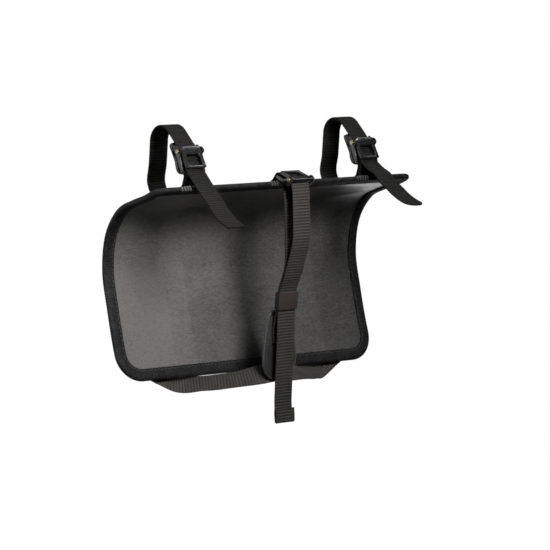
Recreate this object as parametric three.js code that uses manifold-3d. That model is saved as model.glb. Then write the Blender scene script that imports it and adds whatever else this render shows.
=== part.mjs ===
// Handlebar harness: a curved fabric cradle that two buckled straps hang from a bicycle handlebar, with a
// third strap down its open front that holds a rolled bag in the curve.
// Millimetres, +Z up. X runs along the handlebar, -Y is the open front, and the origin is the handlebar's
// centre midway between the two bar straps.
import * as THREE from "three";
import { mergeVertices } from "three/addons/utils/BufferGeometryUtils.js";
import Module from "manifold-3d";

const wasm = await Module();
wasm.setup();

// Driving sizes
const gap = 0.3;
const bar = { radius: 11.8 };
const web = { width: 16, thick: 1.2 };
const barStrap = { spacing: 161.6, backClear: 1.6, leftTail: 60, rightTail: 68, tipRadius: 7 };
const panel = {
  width: 239,
  bottomWidth: 231,
  thick: 1.8,
  depth: 66.4,
  drop: 142,
  topCorner: 9,
  bottomCorner: 20,
  edgeForward: 36.4,
  edgeBelow: 30.3,
  skew: 3.7,
};
const binding = { face: 9, thick: 0.8, slack: 0.25 };
const buckle = {
  width: 20.6,
  ear: 1.2,
  crown: 1.2,
  plate: 1.2,
  sidePlateAhead: 5.9,
  centrePlateAhead: -0.2,
  sideSlot: 3.2,
  centreSlot: 5.2,
  anchorBehind: 14.2,
  anchorBar: 2.4,
  centreAnchorUp: 1.5,
  joined: 0.1,
  pinRadius: 1.0,
  headRadius: 1.8,
  headThick: 1.2,
  barrelRadius: 2.1,
};
const lever = {
  width: 17.4,
  ahead: 3.2,
  behind: 14.4,
  thick: 2.2,
  chamfer: 0.8,
  windowWidth: 11.4,
  windowLength: 8.9,
  sill: 2.1,
  frontUnder: 0.4,
  tipEase: 1,
};
const pad = { width: 22.6, length: 24.4, thick: 1.4, corner: 3, ahead: 10 };
const sidePlace = { forward: 24.8, below: 4.4, lean: 31 };
const centrePlace = { forward: 50.6, below: 27.2, lean: 18 };
const sewn = { tabFrom: 26.5, tabTo: 13.5, strapFrom: 11.5, strapRun: 13, centreFrom: 25, centreTo: 9.5 };
const tab = {
  loopAhead: 0.3,
  loopStretch: 1.25,
  neckBack: 0.5,
  neckBelow: 7.5,
  footForward: 0.5,
  footUp: 2.4,
  backFootUp: 1.9,
  frontPast: 3,
  backPast: 2.2,
  sewnPast: 2,
};
const keeper = { thick: 1, height: 13, side: 0.5, below: 110, lean: 7.7 };
const leaf = {
  length: 51,
  width: 31,
  topWidth: 20,
  widest: 0.75,
  thick: 1.6,
  below: 124.5,
  forward: 26.2,
  footBack: 1.4,
};
const centreStrap = { tail: 206, hang: 51.2, loadForward: 41.4, bow: 1, lift: 6.6, fold: 9, foldOut: 1.65 };
const sling = {
  width: 16,
  thick: 1.2,
  halfSpan: 99,
  sewnUp: 8.6,
  ease: 0.25,
  forward: 26.5,
  sag: 6.4,
  leafUp: 5,
  leafBack: 4.2,
};

const colours = {
  fabric: 0x3a3a3c,
  binding: 0x1d1d1f,
  webbing: 0x2b2824,
  rubber: 0x1e1e1f,
  metal: 0x141415,
  pin: 0x8c8172,
  keeper: 0x3a3028,
};
const looks = {};
for (const [name, color] of Object.entries(colours)) {
  const metal = name === "metal" || name === "pin";
  looks[name] = new THREE.MeshStandardMaterial({
    color,
    roughness: metal ? 0.35 : 0.8,
    metalness: metal ? 1 : 0,
  });
}

const harness = new THREE.Group();

// A geometry's shape alone, closed and facing out
function closed(geometry) {
  const bare = geometry.index ? geometry.toNonIndexed() : geometry.clone();
  const merged = mergeVertices(
    new THREE.BufferGeometry().setAttribute("position", bare.getAttribute("position")),
    1e-4,
  );
  const p = merged.attributes.position;
  const index = merged.index.array;
  const [a, b, c] = [new THREE.Vector3(), new THREE.Vector3(), new THREE.Vector3()];
  const faces = [];
  let volume = 0;
  for (let i = 0; i < index.length; i += 3) {
    const [j, k, l] = [index[i], index[i + 1], index[i + 2]];
    if (j === k || k === l || j === l) continue;
    faces.push(j, k, l);
    volume += a.fromBufferAttribute(p, j).dot(b.fromBufferAttribute(p, k).cross(c.fromBufferAttribute(p, l)));
  }
  if (volume < 0) faces.reverse();
  merged.setIndex(faces);
  return merged;
}

function solid(geometry) {
  const shape = closed(geometry);
  return new wasm.Manifold(
    new wasm.Mesh({
      numProp: 3,
      vertProperties: shape.attributes.position.array,
      triVerts: new Uint32Array(shape.index.array),
    }),
  );
}

function geometryOf(made) {
  const { vertProperties, triVerts } = made.getMesh();
  return new THREE.BufferGeometry()
    .setAttribute("position", new THREE.BufferAttribute(new Float32Array(vertProperties), 3))
    .setIndex(new THREE.BufferAttribute(new Uint32Array(triVerts), 1));
}

function add(name, geometry, look) {
  const mesh = new THREE.Mesh(geometry, looks[look]);
  mesh.name = name;
  harness.add(mesh);
  return mesh;
}

// A box of across by along cells bent into a sheet: place gives the point for across (0 to 1), the row
// number along it, and through (-0.5 to 0.5).
function bentSheet(across, rows, place) {
  const box = new THREE.BoxGeometry(1, 1, 1, across, rows, 1);
  const p = box.attributes.position;
  for (let i = 0; i < p.count; i++) {
    const u = Math.round((p.getX(i) + 0.5) * across) / across;
    const row = Math.round((0.5 - p.getY(i)) * rows);
    p.setXYZ(i, ...place(u, row, Math.sign(p.getZ(i)) / 2).toArray());
  }
  return closed(box);
}

// Points of an arc in the Y-Z plane, angles in degrees from +Y towards +Z
function arc([y, z], radius, from, to, steps) {
  return Array.from({ length: steps + 1 }, (_, i) => {
    const angle = THREE.MathUtils.degToRad(from + ((to - from) * i) / steps);
    return [y + radius * Math.cos(angle), z + radius * Math.sin(angle)];
  });
}

// Evenly spaced points of a smooth curve through a few
function smooth(points, steps) {
  const curve = new THREE.CatmullRomCurve3(points.map(([y, z]) => new THREE.Vector3(0, y, z)));
  return curve.getSpacedPoints(steps).map((q) => [q.y, q.z]);
}

// The stretch of a path that is as long as asked
function cutTo(path, length) {
  const kept = [path[0]];
  let left = length;
  for (let i = 1; i < path.length; i++) {
    const [a, b] = [path[i - 1], path[i]];
    const step = Math.hypot(b[0] - a[0], b[1] - a[1]);
    if (step >= left) {
      kept.push([a[0] + ((b[0] - a[0]) * left) / step, a[1] + ((b[1] - a[1]) * left) / step]);
      return kept;
    }
    kept.push(b);
    left -= step;
  }
  return kept;
}

// Webbing whose path lies in a Y-Z plane at x, with its far end round if tip is given
function flatStrap(x, path, tip = 0, width = web.width, thick = web.thick) {
  const apart = (q, i) => i === 0 || Math.hypot(q[0] - path[i - 1][0], q[1] - path[i - 1][1]) > 0.05;
  const rows = path.filter(apart);
  const along = [0];
  for (let i = 1; i < rows.length; i++) {
    along.push(along[i - 1] + Math.hypot(rows[i][0] - rows[i - 1][0], rows[i][1] - rows[i - 1][1]));
  }
  const total = along[along.length - 1];
  const unit = (a, b) => new THREE.Vector2(b[0] - a[0], b[1] - a[1]).normalize();
  return bentSheet(tip ? 4 : 1, rows.length - 1, (u, row, through) => {
    const before = row > 0 ? unit(rows[row - 1], rows[row]) : unit(rows[0], rows[1]);
    const after = row < rows.length - 1 ? unit(rows[row], rows[row + 1]) : before;
    const way = before.clone().add(after).normalize();
    const mitre = (through * thick) / Math.max(0.5, way.dot(before));
    const inward = Math.max(0, tip - (total - along[row]));
    const half = width / 2 - tip + (tip ? Math.sqrt(Math.max(0.04, tip * tip - inward * inward)) : 0);
    return new THREE.Vector3(
      x + (u * 2 - 1) * half,
      rows[row][0] - way.y * mitre,
      rows[row][1] + way.x * mitre,
    );
  });
}

// The cradle's side profile, from its top edge back, down and forward to its bottom edge: shares of the
// panel's depth behind the top edge and of its drop below it.
const profileShares = [
  { back: 0, down: 0 },
  { back: 0.218, down: 0.042 },
  { back: 0.453, down: 0.075 },
  { back: 0.703, down: 0.123 },
  { back: 0.929, down: 0.25 },
  { back: 1, down: 0.44 },
  { back: 0.914, down: 0.639 },
  { back: 0.806, down: 0.828 },
  { back: 0.673, down: 1 },
];
const profile = new THREE.CatmullRomCurve3(
  profileShares.map(
    ({ back, down }) =>
      new THREE.Vector3(0, panel.depth * back - panel.edgeForward, -panel.edgeBelow - panel.drop * down),
  ),
);
const panelLength = profile.getLength();

// The point of the cradle at x, at a distance down its profile from the top edge, and off its middle
// towards the back; past an edge it goes straight on.
function onPanel(x, down, off) {
  const share = THREE.MathUtils.clamp(down / panelLength, 0, 1);
  const point = profile.getPointAt(share);
  const way = profile.getTangentAt(share);
  const outward = new THREE.Vector3(0, -way.z, way.y);
  point.addScaledVector(way, down - share * panelLength).addScaledVector(outward, off);
  point.y -= (panel.skew * share * share * x) / (panel.width / 2);
  point.x = x * THREE.MathUtils.lerp(1, panel.bottomWidth / panel.width, share);
  return point;
}

// How far down the profile a place behind the top edge is, on the cradle's upper part
function downAt(y) {
  let [low, high] = [0, panelLength / 3];
  for (let i = 0; i < 30; i++) {
    const middle = (low + high) / 2;
    if (onPanel(0, middle, 0).y < y) low = middle;
    else high = middle;
  }
  return low;
}

// The rows of the cradle: close together round its corners, even between them
const cornerSteps = 5;
const sideSteps = 22;
const cornerShares = Array.from(
  { length: cornerSteps + 1 },
  (_, i) => Math.sin((i / cornerSteps) * (Math.PI / 2)),
);
const sideLength = panelLength - panel.topCorner - panel.bottomCorner;
const rowsDown = [
  ...cornerShares.map((share) => panel.topCorner * (1 - share)).reverse(),
  ...Array.from({ length: sideSteps - 1 }, (_, i) => panel.topCorner + (sideLength * (i + 1)) / sideSteps),
  ...cornerShares.map((share) => panelLength - panel.bottomCorner * (1 - share)),
];

function halfWidthAt(down) {
  const corner = down < panelLength / 2 ? panel.topCorner : panel.bottomCorner;
  const inward = Math.max(0, corner - Math.min(down, panelLength - down));
  return panel.width / 2 - corner + Math.sqrt(Math.max(0, corner ** 2 - inward ** 2));
}

// Cradle panel
add(
  "cradle_panel",
  bentSheet(6, rowsDown.length - 1, (u, row, through) =>
    onPanel((u * 2 - 1) * halfWidthAt(rowsDown[row]), rowsDown[row], through * panel.thick),
  ),
  "fabric",
);

// Edge binding: a folded tape all round the panel, with the panel's edge in its slot
function edgeBinding() {
  const half = panel.width / 2;
  const [top, bottom] = [panel.topCorner, panel.bottomCorner];
  const corners = [
    { x: half - bottom, down: panelLength - bottom, radius: bottom, from: 0, steps: 4 },
    { x: bottom - half, down: panelLength - bottom, radius: bottom, from: 90, steps: sideSteps },
    { x: top - half, down: top, radius: top, from: 180, steps: 4 },
    { x: half - top, down: top, radius: top, from: 270, steps: sideSteps },
  ];
  const turn = ({ x, down, radius }, degrees) => {
    const angle = THREE.MathUtils.degToRad(degrees);
    const [ax, ad] = [Math.cos(angle), Math.sin(angle)];
    return { x: x + radius * ax, down: down + radius * ad, ax, ad };
  };
  const route = [];
  corners.forEach((corner, n) => {
    for (let i = 0; i <= cornerSteps; i++) route.push(turn(corner, corner.from + (90 * i) / cornerSteps));
    const start = route[route.length - 1];
    const end = turn(corners[(n + 1) % corners.length], corner.from + 90);
    for (let i = 1; i < corner.steps; i++) {
      const t = i / corner.steps;
      route.push({
        ...start,
        x: THREE.MathUtils.lerp(start.x, end.x, t),
        down: THREE.MathUtils.lerp(start.down, end.down, t),
      });
    }
  });
  const slot = panel.thick / 2 + binding.slack;
  const outer = slot + binding.thick;
  const lip = -binding.slack - binding.thick;
  const section = [
    { inward: lip, off: -outer / 2 },
    { inward: lip / 2, off: -outer },
    { inward: binding.face, off: -outer },
    { inward: binding.face, off: -slot },
    { inward: -binding.slack, off: -slot },
    { inward: -binding.slack, off: slot },
    { inward: binding.face, off: slot },
    { inward: binding.face, off: outer },
    { inward: lip / 2, off: outer },
    { inward: lip, off: outer / 2 },
  ];
  const ring = new THREE.TorusGeometry(2, 1, section.length, route.length);
  const p = ring.attributes.position;
  for (let i = 0; i < p.count; i++) {
    const at = route[(i % (route.length + 1)) % route.length];
    const { inward, off } = section[Math.floor(i / (route.length + 1)) % section.length];
    p.setXYZ(i, ...onPanel(at.x - at.ax * inward, at.down - at.ad * inward, off).toArray());
  }
  return closed(ring);
}
add("edge_binding", edgeBinding(), "binding");

// A cam buckle's own axes: along goes from the pin to the anchor bar, out goes from the strap to the lever.
// place holds where the pin is and which way along points, in degrees from +Y towards +Z.
function buckleAxes({ y, z, along }) {
  const angle = THREE.MathUtils.degToRad(along);
  const flip = Math.cos(angle) > 0 ? 1 : -1;
  return (a, n) => [
    y + a * Math.cos(angle) - flip * n * Math.sin(angle),
    z + a * Math.sin(angle) + flip * n * Math.cos(angle),
  ];
}
const sideBuckle = {
  y: -sidePlace.forward,
  z: -sidePlace.below,
  along: 270 - sidePlace.lean,
};
const middleBuckle = { y: -centrePlace.forward, z: -centrePlace.below, along: centrePlace.lean };

// Levels in a buckle, measured out from the pin's axis
const strapUnder = -(buckle.barrelRadius + gap + web.thick / 2);
const plateMiddle = strapUnder - web.thick / 2 - gap - buckle.plate / 2;
const sideAnchor = plateMiddle;
const centreAnchor = plateMiddle + buckle.centreAnchorUp;
const loopRadius = buckle.plate / 2 + gap + web.thick / 2;
const strapOver = sideAnchor + loopRadius + web.thick / 2 + gap + web.thick / 2;
const padUnderPlate = plateMiddle - buckle.plate / 2 - gap - pad.thick / 2;
const padUnderLoop = sideAnchor - loopRadius - web.thick / 2 - gap - pad.thick / 2;
const layer = web.thick + gap;

function shapeOf(points) {
  return new THREE.Shape(points.map(([a, n]) => new THREE.Vector2(a, n)));
}

// A slab of an outline drawn in a buckle's own axes, between two places in X
function slab(axes, shape, from, to, curveSegments = 8) {
  const made = new THREE.ExtrudeGeometry(shape, { depth: to - from, bevelEnabled: false, curveSegments });
  const p = made.attributes.position;
  for (let i = 0; i < p.count; i++) {
    p.setXYZ(i, from + p.getZ(i), ...axes(p.getX(i), p.getY(i)));
  }
  return solid(made);
}

function disc(radius) {
  const shape = new THREE.Shape();
  shape.absarc(0, 0, radius, 0, 2 * Math.PI);
  return shape;
}

function rectangle(a0, a1, n0, n1) {
  return shapeOf([[a0, n0], [a1, n0], [a1, n1], [a0, n1]]);
}

// Buckle frame: base plate and anchor bar between two ears, with a hole for the pin
function buckleFrame(axes, x, plateAhead, slotLength, anchor) {
  const half = buckle.width / 2;
  const plateLow = plateMiddle - buckle.plate / 2;
  const anchorLow = anchor - buckle.plate / 2;
  const end = buckle.anchorBehind + buckle.anchorBar / 2;
  const slotStart = buckle.anchorBehind - buckle.anchorBar / 2 - slotLength;
  const crown = buckle.headRadius + buckle.crown;
  const outline = [
    [-plateAhead, plateLow],
    [slotStart, plateLow],
    [end, anchorLow],
    [end, anchor + buckle.plate],
    [slotStart, strapUnder + web.thick],
    [crown, 0],
    [crown * 0.6, crown * 0.8],
    [-crown * 0.6, crown * 0.8],
    [-crown, 0],
  ];
  if (plateAhead > crown) outline.push([-plateAhead, strapUnder + web.thick]);
  const ear = shapeOf(outline);
  const plate = rectangle(-plateAhead, slotStart, plateLow, plateMiddle + buckle.plate / 2);
  const rod = rectangle(end - buckle.anchorBar, end, anchorLow, anchor + buckle.plate / 2);
  const reach = half - buckle.joined;
  let frame = slab(axes, plate, x - reach, x + reach);
  frame = frame.add(slab(axes, rod, x - reach, x + reach));
  for (const side of [-half, half - buckle.ear]) {
    frame = frame.add(slab(axes, ear, x + side, x + side + buckle.ear));
  }
  return frame.subtract(slab(axes, disc(buckle.pinRadius + gap), x - half - gap, x + half + gap));
}

// Buckle pin: a rod through both ears with a head outside each
function bucklePin(axes, x) {
  const half = buckle.width / 2;
  const reach = half + gap + buckle.headThick;
  let pin = slab(axes, disc(buckle.pinRadius), x - reach + buckle.joined, x + reach - buckle.joined);
  for (const side of [-reach, reach - buckle.headThick]) {
    pin = pin.add(slab(axes, disc(buckle.headRadius), x + side, x + side + buckle.headThick));
  }
  return pin;
}

// Cam lever: a barrel on the pin and a plate with a window, whose free end lies over the strap
function camLever(axes, x) {
  const half = lever.width / 2;
  const barrelHalf = buckle.width / 2 - buckle.ear - gap;
  const under = strapOver + web.thick / 2 + gap;
  const side = shapeOf([
    [-lever.ahead, buckle.barrelRadius - lever.chamfer],
    [0, -lever.frontUnder],
    [lever.behind * 0.55, under],
    [lever.behind, under],
    [lever.behind, under + lever.thick * 0.7],
    [lever.behind - lever.tipEase, under + lever.thick],
    [lever.chamfer - lever.ahead, buckle.barrelRadius],
  ]);
  const windowEnd = lever.behind - lever.sill;
  const opening = rectangle(windowEnd - lever.windowLength, windowEnd, -barrelHalf, barrelHalf);
  let made = slab(axes, side, x - half, x + half);
  made = made.subtract(slab(axes, opening, x - lever.windowWidth / 2, x + lever.windowWidth / 2));
  made = made.add(slab(axes, disc(buckle.barrelRadius), x - barrelHalf, x + barrelHalf));
  return made.subtract(slab(axes, disc(buckle.pinRadius + gap), x - half - gap, x + half + gap));
}

function camBuckle(side, place, x, plateAhead, slotLength, anchor) {
  const axes = buckleAxes(place);
  add(`buckle_frame_${side}`, geometryOf(buckleFrame(axes, x, plateAhead, slotLength, anchor)), "metal");
  add(`cam_pin_${side}`, geometryOf(bucklePin(axes, x)), "pin");
  add(`cam_lever_${side}`, geometryOf(camLever(axes, x)), "metal");
  return axes;
}

// Where webbing sewn to the cradle's back runs, a number of layers up
function sewnPoint(y, layer) {
  const down = downAt(y);
  const off = panel.thick / 2 + binding.slack + binding.thick + gap + web.thick / 2;
  const at = onPanel(0, down, off + layer * (web.thick + gap));
  return [at.y, at.z];
}
function sewnRun(from, to, layer, steps = 4) {
  return Array.from({ length: steps + 1 }, (_, i) => sewnPoint(from + ((to - from) * i) / steps, layer));
}

const sides = [
  {
    name: "left",
    x: -barStrap.spacing / 2,
    tip: 0,
    tail: barStrap.leftTail,
    droop: [
      { forward: 0.13, below: 0.123 },
      { forward: 0.263, below: 0.24 },
      { forward: 0.397, below: 0.357 },
      { forward: 0.563, below: 0.5 },
      { forward: 0.8, below: 0.61 },
    ],
  },
  {
    name: "right",
    x: barStrap.spacing / 2,
    tip: barStrap.tipRadius,
    tail: barStrap.rightTail,
    droop: [
      { forward: 0.1, below: 0.06 },
      { forward: 0.225, below: 0.115 },
      { forward: 0.32, below: 0.197 },
      { forward: 0.424, below: 0.256 },
      { forward: 0.549, below: 0.329 },
      { forward: 0.696, below: 0.388 },
      { forward: 0.95, below: 0.435 },
    ],
  },
];

// The turn of a tab's webbing round an anchor bar, from its outer side to its inner side
function anchorLoop(axes, anchor) {
  const middle = buckle.anchorBehind - tab.loopAhead;
  const turn = arc([0, 0], loopRadius, 90, 270, 8);
  return turn.map(([a, n]) => axes(middle + a * tab.loopStretch, anchor + n));
}

// How far round the bar a strap goes before it runs straight to a point
function leaveAngle([y, z], radius) {
  const toPoint = Math.atan2(z, y);
  const turned = toPoint < 0 ? toPoint + 2 * Math.PI : toPoint;
  return THREE.MathUtils.radToDeg(turned - Math.acos(radius / Math.hypot(y, z)));
}

for (const { name, x, tip, tail, droop } of sides) {
  const axes = camBuckle(name, sideBuckle, x, buckle.sidePlateAhead, buckle.sideSlot, sideAnchor);

  // Buckle pad: a stiff flap between the buckle and the bar, which bows back round the tab at its foot
  const padRows = 8;
  const padGeometry = bentSheet(4, padRows, (u, row, through) => {
    const down = (pad.length * row) / padRows;
    const inward = Math.max(0, pad.corner - Math.min(down, pad.length - down));
    const half = pad.width / 2 - pad.corner + Math.sqrt(pad.corner ** 2 - inward ** 2);
    const bow = THREE.MathUtils.smoothstep(down, pad.length * 0.55, pad.length * 0.85);
    const out = THREE.MathUtils.lerp(padUnderPlate, padUnderLoop, bow) + through * pad.thick;
    return new THREE.Vector3(x + (u * 2 - 1) * half, ...axes(down - pad.ahead, out));
  });
  add(`buckle_pad_${name}`, padGeometry, "rubber");

  // Buckle tab: webbing sewn to the cradle that goes up round the buckle's anchor bar and down again
  const loop = anchorLoop(axes, sideAnchor);
  const [anchorY, anchorZ] = axes(buckle.anchorBehind, sideAnchor);
  const neck = anchorY + tab.neckBack;
  const frontLeg = smooth(
    [
      sewnPoint(-sewn.tabFrom, 0),
      [neck - layer / 2 + tab.footForward, sewnPoint(-sewn.tabFrom, 0)[1] + tab.footUp],
      [neck - layer / 2, anchorZ - tab.neckBelow],
      axes(buckle.anchorBehind + tab.frontPast, sideAnchor + loopRadius * 0.9),
      loop[0],
    ],
    12,
  );
  const backLeg = smooth(
    [
      loop[loop.length - 1],
      axes(buckle.anchorBehind + tab.backPast, sideAnchor - loopRadius),
      [neck + layer * 0.63, anchorZ - tab.neckBelow],
      [neck + layer * 1.17, sewnPoint(-sewn.tabFrom, 1)[1] + tab.backFootUp],
      sewnPoint(-sewn.tabFrom + tab.sewnPast * 1.1, 1),
    ],
    12,
  );
  const tabPath = [
    ...sewnRun(-sewn.tabTo, -sewn.tabFrom + tab.sewnPast, 0),
    ...frontLeg,
    ...loop.slice(1, -1),
    ...backLeg,
    ...sewnRun(-sewn.tabFrom + tab.sewnPast * 2, -sewn.tabTo, 1),
  ];
  add(`buckle_tab_${name}`, flatStrap(x, tabPath), "webbing");

  // Bar strap: sewn to the cradle behind the bar, up and over it, through the buckle, with a free tail
  const round = bar.radius + gap + web.thick / 2;
  const sewnEnd = -sewn.strapFrom + sewn.strapRun;
  const lift = sewnPoint(sewnEnd, 0);
  const climb = smooth(
    [
      lift,
      [lift[0] + web.thick * 4.2, lift[1] - web.thick / 2],
      [round + barStrap.backClear * 2.25, lift[1] * 0.72],
      [round + barStrap.backClear, lift[1] * 0.4],
      [round, 0],
    ],
    12,
  );
  const entry = axes(-buckle.sidePlateAhead - web.thick * 0.7, strapUnder);
  const exit = axes(buckle.anchorBehind + tab.backPast, strapOver);
  const hung = droop.map((q) => [exit[0] - q.forward * tail, exit[1] - q.below * tail]);
  const tailRun = smooth([exit, ...hung], 22);
  const path = [
    ...sewnRun(-sewn.strapFrom, sewnEnd - web.thick, 0),
    ...climb,
    ...arc([0, 0], round, 8, leaveAngle(entry, round), 15),
    entry,
    axes(-buckle.sidePlateAhead * 0.83, strapUnder),
    axes(0, strapUnder),
    axes(buckle.anchorBehind * 0.32, strapUnder),
    axes(buckle.anchorBehind * 0.49, strapUnder + layer / 3),
    axes(buckle.anchorBehind * 0.63, strapOver - layer / 4),
    axes(buckle.anchorBehind * 0.75, strapOver),
    ...cutTo(tailRun, tail),
  ];
  add(`bar_strap_${name}`, flatStrap(x, path, tip), "webbing");
}

// Centre buckle, on the cradle's top edge with its pin at the front, and the tab that holds it
{
  const ahead = buckle.centrePlateAhead;
  const axes = camBuckle("centre", middleBuckle, 0, ahead, buckle.centreSlot, centreAnchor);
  const loop = anchorLoop(axes, centreAnchor);
  const upperLeg = smooth(
    [
      sewnPoint(-sewn.centreFrom + tab.sewnPast * 1.75, 1),
      [-sewn.centreFrom - tab.sewnPast * 1.25, sewnPoint(-sewn.centreFrom, 1)[1] + tab.footUp * 1.08],
      axes(buckle.anchorBehind + tab.frontPast * 1.33, centreAnchor + loopRadius * 0.8),
      loop[0],
    ],
    10,
  );
  const lowerLeg = smooth(
    [
      loop[loop.length - 1],
      axes(buckle.anchorBehind + tab.sewnPast, centreAnchor - loopRadius),
      sewnPoint(-sewn.centreFrom - tab.frontPast, 0),
    ],
    6,
  );
  const path = [
    ...sewnRun(-sewn.centreTo, -sewn.centreFrom + tab.sewnPast * 2.5, 1),
    ...upperLeg,
    ...loop.slice(1, -1),
    ...lowerLeg,
    ...sewnRun(-sewn.centreFrom - tab.frontPast / 2, -sewn.centreTo, 0, 6),
  ];
  add("buckle_tab_centre", flatStrap(0, path), "webbing");
}

// Leaf tab: a flat tapered patch at the foot of the load strap, which the sling is sewn behind
const leafRows = 14;
const leafGeometry = bentSheet(4, leafRows, (u, row, through) => {
  const t = row / leafRows;
  const swell = Math.sin(Math.PI * Math.min(1, t / leaf.widest) * 0.5);
  const foot = Math.max(0, (t - leaf.widest) / (1 - leaf.widest));
  const half = (leaf.topWidth + (leaf.width - leaf.topWidth) * swell) / 2;
  return new THREE.Vector3(
    (u * 2 - 1) * half * Math.sqrt(1 - 0.72 * foot ** 2),
    -leaf.forward + leaf.footBack * t * t + through * leaf.thick,
    -leaf.below - leaf.length * t,
  );
});
add("leaf_tab", leafGeometry, "rubber");

// Centre strap: sewn to the leaf tab, up to the buckle, under its cam, over the frame's front edge and
// down again through the keeper to a folded end
const tailY = -leaf.forward - leaf.thick / 2 - gap - web.thick / 2;
function centreRun() {
  const axes = buckleAxes(middleBuckle);
  const slotEdge = buckle.anchorBehind - buckle.anchorBar / 2 - buckle.centreSlot;
  const rise = slotEdge + gap + web.thick * 0.63;
  const lifted = (share) => tailY - centreStrap.lift * share;
  const onLeaf = (share) => -leaf.below - leaf.length * share;
  const aboveKeeper = (share) => -THREE.MathUtils.lerp(centrePlace.below, keeper.below, share);
  const keeperFoot = keeper.below + keeper.height;
  const belowKeeper = (share) => -THREE.MathUtils.lerp(keeperFoot, centreStrap.tail, share);
  const bowed = (from, share) => -from - centreStrap.bow * share;
  const inKeeper = -keeper.below - keeper.height * 0.54;
  const load = smooth(
    [
      [tailY, onLeaf(0.47)],
      [tailY, onLeaf(0.275)],
      [lifted(0.273), onLeaf(0.127)],
      [lifted(0.697), onLeaf(-0.01)],
      [lifted(0.818), inKeeper],
      [lifted(1), aboveKeeper(0.988)],
      [bowed(centreStrap.loadForward, 0.5), aboveKeeper(0.758)],
      [bowed(centreStrap.loadForward, 1), aboveKeeper(0.469)],
      [bowed(centreStrap.loadForward, 0.4), aboveKeeper(0.227)],
      axes(rise, plateMiddle - web.thick * 2.5),
    ],
    34,
  );
  const over = [
    axes(rise, plateMiddle - web.thick * 0.83),
    axes(rise, plateMiddle + web.thick / 2),
    axes(rise - web.thick / 6, strapUnder - web.thick * 0.29),
    axes(rise - web.thick * 0.75, strapUnder),
    axes(rise - web.thick * 2.5, strapUnder),
    axes(web.thick * 1.33, strapUnder),
    axes(web.thick / 4, strapUnder - web.thick * 0.04),
    axes(-web.thick * 0.42, strapUnder - web.thick * 0.375),
    axes(-web.thick * 0.79, strapUnder - web.thick),
    axes(-web.thick * 0.96, strapUnder - web.thick * 1.83),
  ];
  const hung = (share) => THREE.MathUtils.lerp(-centreStrap.hang, lifted(1) - layer, share);
  const down = smooth(
    [
      [bowed(centreStrap.hang, -0.2), aboveKeeper(0.109)],
      [bowed(centreStrap.hang, 0.6), aboveKeeper(0.372)],
      [bowed(centreStrap.hang, 0.1), aboveKeeper(0.529)],
      [hung(0.322), aboveKeeper(0.71)],
      [hung(0.684), aboveKeeper(0.867)],
      [lifted(1) - layer, aboveKeeper(0.988)],
      [lifted(0.818) - layer, inKeeper],
      [lifted(0.697) - layer, belowKeeper(0.024)],
      [lifted(0.697), belowKeeper(0.349)],
      [lifted(0.424), belowKeeper(0.687)],
      [lifted(0.333), belowKeeper(0.855)],
      [lifted(0.515), belowKeeper(1)],
    ],
    46,
  );
  const [endY, endZ] = down[down.length - 1];
  const folded = (out, up) => [endY - centreStrap.foldOut * out, endZ + up];
  const fold = [
    folded(0.09, -web.thick * 0.58),
    folded(0.48, -web.thick * 0.92),
    folded(0.91, -web.thick * 0.58),
    folded(1, web.thick / 6),
    folded(0.88, centreStrap.fold / 2),
    folded(0.67, centreStrap.fold),
  ];
  return [...load, ...over, ...down, ...fold];
}
add("centre_strap", flatStrap(0, centreRun()), "webbing");

// Strap keeper: a band round both runs of the centre strap
function strapKeeper() {
  const half = web.width / 2 + keeper.side;
  const inside = layer + web.thick + 3.33 * gap;
  const wall = keeper.thick;
  const round = (w, d, r) => {
    const shape = new THREE.Shape();
    shape.absarc(w - r, d - r, r, 0, Math.PI / 2);
    shape.absarc(-w + r, d - r, r, Math.PI / 2, Math.PI);
    shape.absarc(-w + r, -d + r, r, Math.PI, 1.5 * Math.PI);
    shape.absarc(w - r, -d + r, r, 1.5 * Math.PI, 2 * Math.PI);
    return shape;
  };
  const shape = round(half + wall, inside / 2 + wall, 1);
  shape.holes.push(round(half, inside / 2, 0.3));
  const height = { depth: keeper.height, bevelEnabled: false, curveSegments: 3 };
  const made = new THREE.ExtrudeGeometry(shape, height);
  made.translate(0, 0, -keeper.height / 2);
  return closed(made);
}
const keeperMesh = add("strap_keeper", strapKeeper(), "keeper");
keeperMesh.position.set(
  0,
  tailY - centreStrap.lift * 0.833 - layer / 2,
  -keeper.below - keeper.height * 0.53,
);
keeperMesh.rotation.x = THREE.MathUtils.degToRad(keeper.lean);

// Lower sling: webbing from one lower corner of the cradle's back, forward under it to the leaf tab and
// back to the other. Its sections hold shares of the half span, how far the webbing is behind and above
// the panel's bottom edge as shares of its reach forward and its sag, and the lean of its upper edge
// towards the back, in degrees.
const slingOff = panel.thick / 2 + binding.slack + binding.thick + gap + sling.ease + sling.thick / 2;
const slingSection = (share, back, up, lean) => {
  const edge = onPanel(share * sling.halfSpan, panelLength, 0);
  return { share, y: edge.y + back * sling.forward, z: edge.z + up * sling.sag, lean };
};
const slingAnchor = (share) => {
  const at = onPanel(share * sling.halfSpan, panelLength - sling.sewnUp, slingOff);
  const edge = onPanel(share * sling.halfSpan, panelLength, slingOff);
  const lean = THREE.MathUtils.radToDeg(Math.atan2(at.y - edge.y, at.z - edge.z));
  return { share, y: at.y, z: at.z, lean };
};
const slingMiddle = {
  share: 0,
  y: -leaf.forward + leaf.thick / 2 + gap + sling.leafBack,
  z: -leaf.below - leaf.length + sling.leafUp,
  lean: 22,
};
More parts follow.
